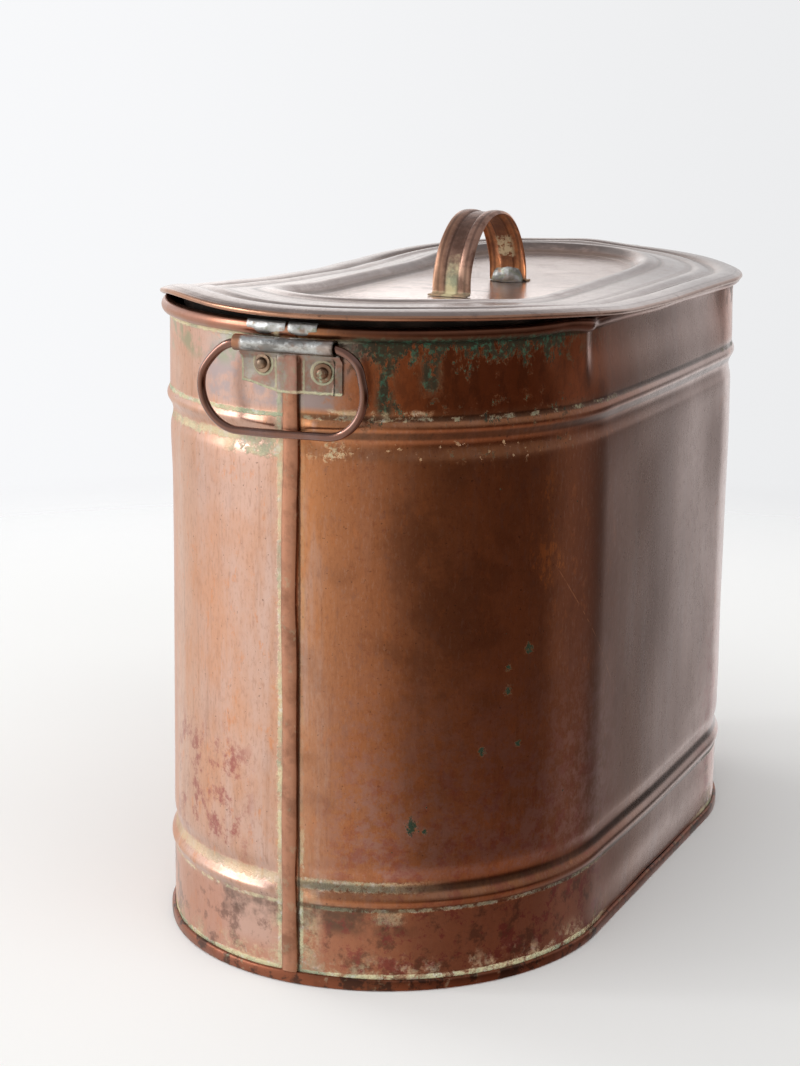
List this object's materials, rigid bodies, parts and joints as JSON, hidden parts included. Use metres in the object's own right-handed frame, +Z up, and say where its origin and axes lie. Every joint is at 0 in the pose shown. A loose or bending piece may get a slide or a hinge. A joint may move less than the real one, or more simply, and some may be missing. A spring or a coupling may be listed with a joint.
{
  "type": "copper wash boiler",
  "caption": "Oval copper wash boiler with beaded walls, a rolled rim, drop handles at the ends and a lift-off lid with a strap handle.",
  "frame": {"origin": "middle of the flat underside", "axes": "+Z up, +Y along the length towards the far end, +X to the right seen from the near end"},
  "size_m": [0.2738, 0.5194, 0.4117],
  "materials": {
    "body_copper": "old copper sheet, brown patina with green and cream deposits along the seams, satin",
    "lid_copper": "old copper sheet, dull pinkish grey, satin",
    "strap_copper": "old copper strip, brown, satin",
    "fitting_copper": "tarnished copper with traces of tinning, dull",
    "bail_wire": "dark copper wire, worn smooth",
    "iron_wire": "plain iron wire, dull",
    "solder": "old tin solder, grey and lumpy"
  },
  "bodies": {
    "body": {"side_sheet_left": "body_copper", "side_sheet_right": "body_copper", "near_end_seam": "body_copper", "far_end_seam": "body_copper", "bottom_pan": "body_copper", "rim_wire": "iron_wire", "near_rim_solder": "solder", "far_rim_solder": "solder", "near_bracket": "fitting_copper", "far_bracket": "fitting_copper", "near_rivet_left": "fitting_copper", "near_rivet_right": "fitting_copper", "near_burr_left": "fitting_copper", "near_burr_right": "fitting_copper", "far_rivet_left": "fitting_copper", "far_rivet_right": "fitting_copper", "far_burr_left": "fitting_copper", "far_burr_right": "fitting_copper"},
    "lid": {"lid_sheet": "lid_copper", "lid_edge_wire": "iron_wire", "lid_collar": "lid_copper", "lid_strap": "strap_copper", "near_strap_solder": "solder", "far_strap_solder": "solder"},
    "near_handle": {"near_bail": "bail_wire"},
    "far_handle": {"far_bail": "bail_wire"}
  },
  "joints": [
    {"name": "lid_lift", "type": "slide", "parent": "body", "child": "lid", "axis": [0, 0, 1], "range_m": [0, 0.2]},
    {"name": "near_handle_swing", "type": "hinge", "parent": "body", "child": "near_handle", "pos_m": [0, -0.2554, 0.3587], "axis": [-1, 0, 0], "range_deg": [-1.5, 180]},
    {"name": "far_handle_swing", "type": "hinge", "parent": "body", "child": "far_handle", "pos_m": [0, 0.2554, 0.3587], "axis": [1, 0, 0], "range_deg": [-1.5, 180]}
  ]
}
